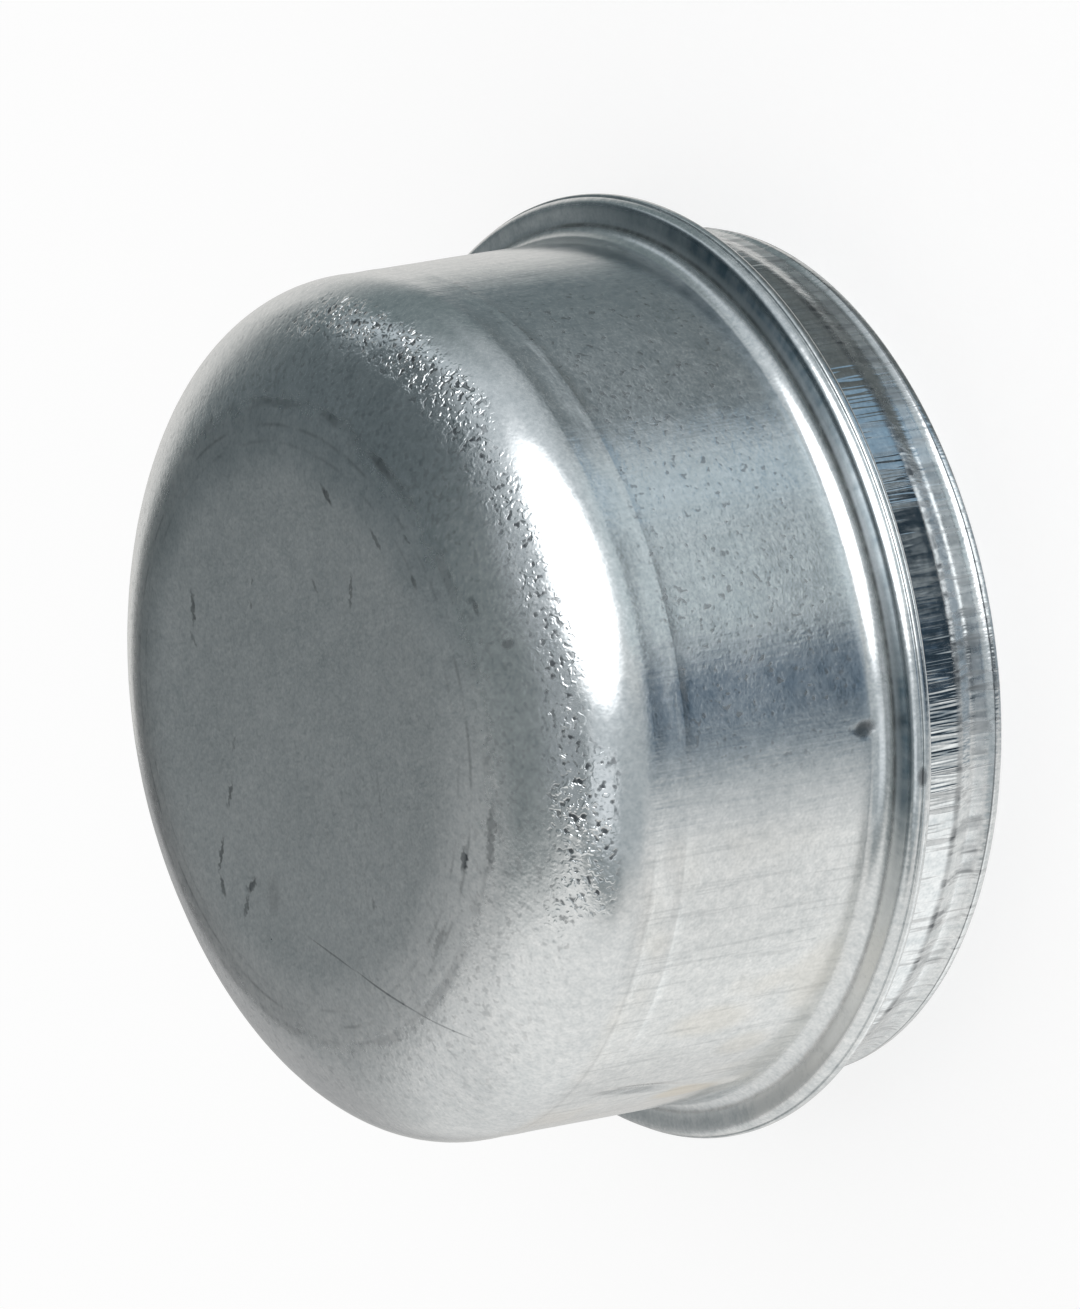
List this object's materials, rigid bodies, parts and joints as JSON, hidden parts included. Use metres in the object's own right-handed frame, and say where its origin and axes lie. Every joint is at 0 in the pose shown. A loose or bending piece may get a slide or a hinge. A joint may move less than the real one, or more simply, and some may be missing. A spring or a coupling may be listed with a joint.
{
  "type": "hub grease cap",
  "caption": "Round drawn steel cap with a folded flange and a press-fit skirt, closing the outer end of a wheel hub and holding its grease.",
  "frame": {"origin": "centre of the open rim, on the plane that the rim stands on", "axes": "+Z along the cap's axis, from the open rim towards the closed nose"},
  "size_m": [0.055, 0.055, 0.0308],
  "materials": {
    "zinc_plated_steel": "bright zinc plate over drawn steel sheet, satin, with drawing marks"
  },
  "bodies": {
    "root": {"grease_cap": "zinc_plated_steel"}
  },
  "joints": []
}
